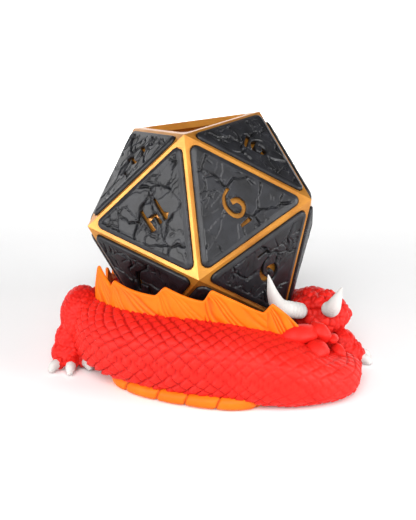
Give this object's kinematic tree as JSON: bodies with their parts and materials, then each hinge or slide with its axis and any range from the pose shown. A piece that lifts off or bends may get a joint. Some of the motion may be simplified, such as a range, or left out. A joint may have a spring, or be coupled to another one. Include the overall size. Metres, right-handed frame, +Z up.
{
  "type": "dice tower",
  "caption": "Tabletop dice tower shaped as a twenty-sided die that stands in the coil of a sleeping dragon; dice go in at the open top face and roll out at the back onto a tray.",
  "frame": {"origin": "on the table, straight below the middle of the die, in the flat underside of the tray floor", "axes": "+Z up from the table, +Y towards the side where the dice roll out, +X towards the dragon's head"},
  "size_m": [0.1871, 0.2151, 0.1387],
  "materials": {
    "silk_gold": "silky gold plastic with a metal-like sheen and fine print lines",
    "black_stone_plastic": "near-black plastic with a low silky gloss, cracked like rock",
    "red_plastic": "bright red plastic with a soft satin surface and low scales",
    "orange_plastic": "warm orange plastic with a soft satin surface",
    "white_plastic": "off-white plastic with a soft satin surface"
  },
  "bodies": {
    "dragon": {"torso": "red_plastic", "tail": "red_plastic", "hind_right_leg": "red_plastic", "fore_right_leg": "red_plastic", "fore_left_leg": "red_plastic", "head": "red_plastic", "lower_jaw": "red_plastic", "frill_leaf_left": "red_plastic", "frill_leaf_top": "red_plastic", "frill_leaf_low": "red_plastic", "frill_bud_upper": "red_plastic", "frill_bud_lower": "red_plastic", "belly_plates": "orange_plastic", "crest_fin": "orange_plastic", "tail_fin": "orange_plastic", "hind_right_claw_1": "white_plastic", "hind_right_claw_2": "white_plastic", "hind_right_claw_3": "white_plastic", "fore_right_claw_1": "white_plastic", "fore_right_claw_2": "white_plastic", "fore_right_claw_3": "white_plastic", "fore_left_claw_1": "white_plastic", "fore_left_claw_2": "white_plastic", "fore_left_claw_3": "white_plastic", "horn_left": "white_plastic", "horn_right": "white_plastic", "tray_floor": "black_stone_plastic", "corner_seat_front_left": "black_stone_plastic", "corner_seat_front_right": "black_stone_plastic", "corner_seat_rear": "black_stone_plastic"},
    "tower": {"tower_shell": "silk_gold", "baffle_ramp": "silk_gold", "exit_ramp": "silk_gold", "panel_01": "black_stone_plastic", "panel_02": "black_stone_plastic", "panel_03": "black_stone_plastic", "panel_04": "black_stone_plastic", "panel_05": "black_stone_plastic", "panel_06": "black_stone_plastic", "panel_07": "black_stone_plastic", "panel_09": "black_stone_plastic", "panel_10": "black_stone_plastic", "panel_11": "black_stone_plastic", "panel_12": "black_stone_plastic", "panel_13": "black_stone_plastic", "panel_14": "black_stone_plastic", "panel_16": "black_stone_plastic", "panel_17": "black_stone_plastic", "panel_18": "black_stone_plastic", "panel_19": "black_stone_plastic", "panel_20": "black_stone_plastic"}
  },
  "joints": [
    {"name": "tower_lift", "type": "slide", "parent": "dragon", "child": "tower", "axis": [0, 0, 1], "range_m": [0, 0.14]}
  ]
}
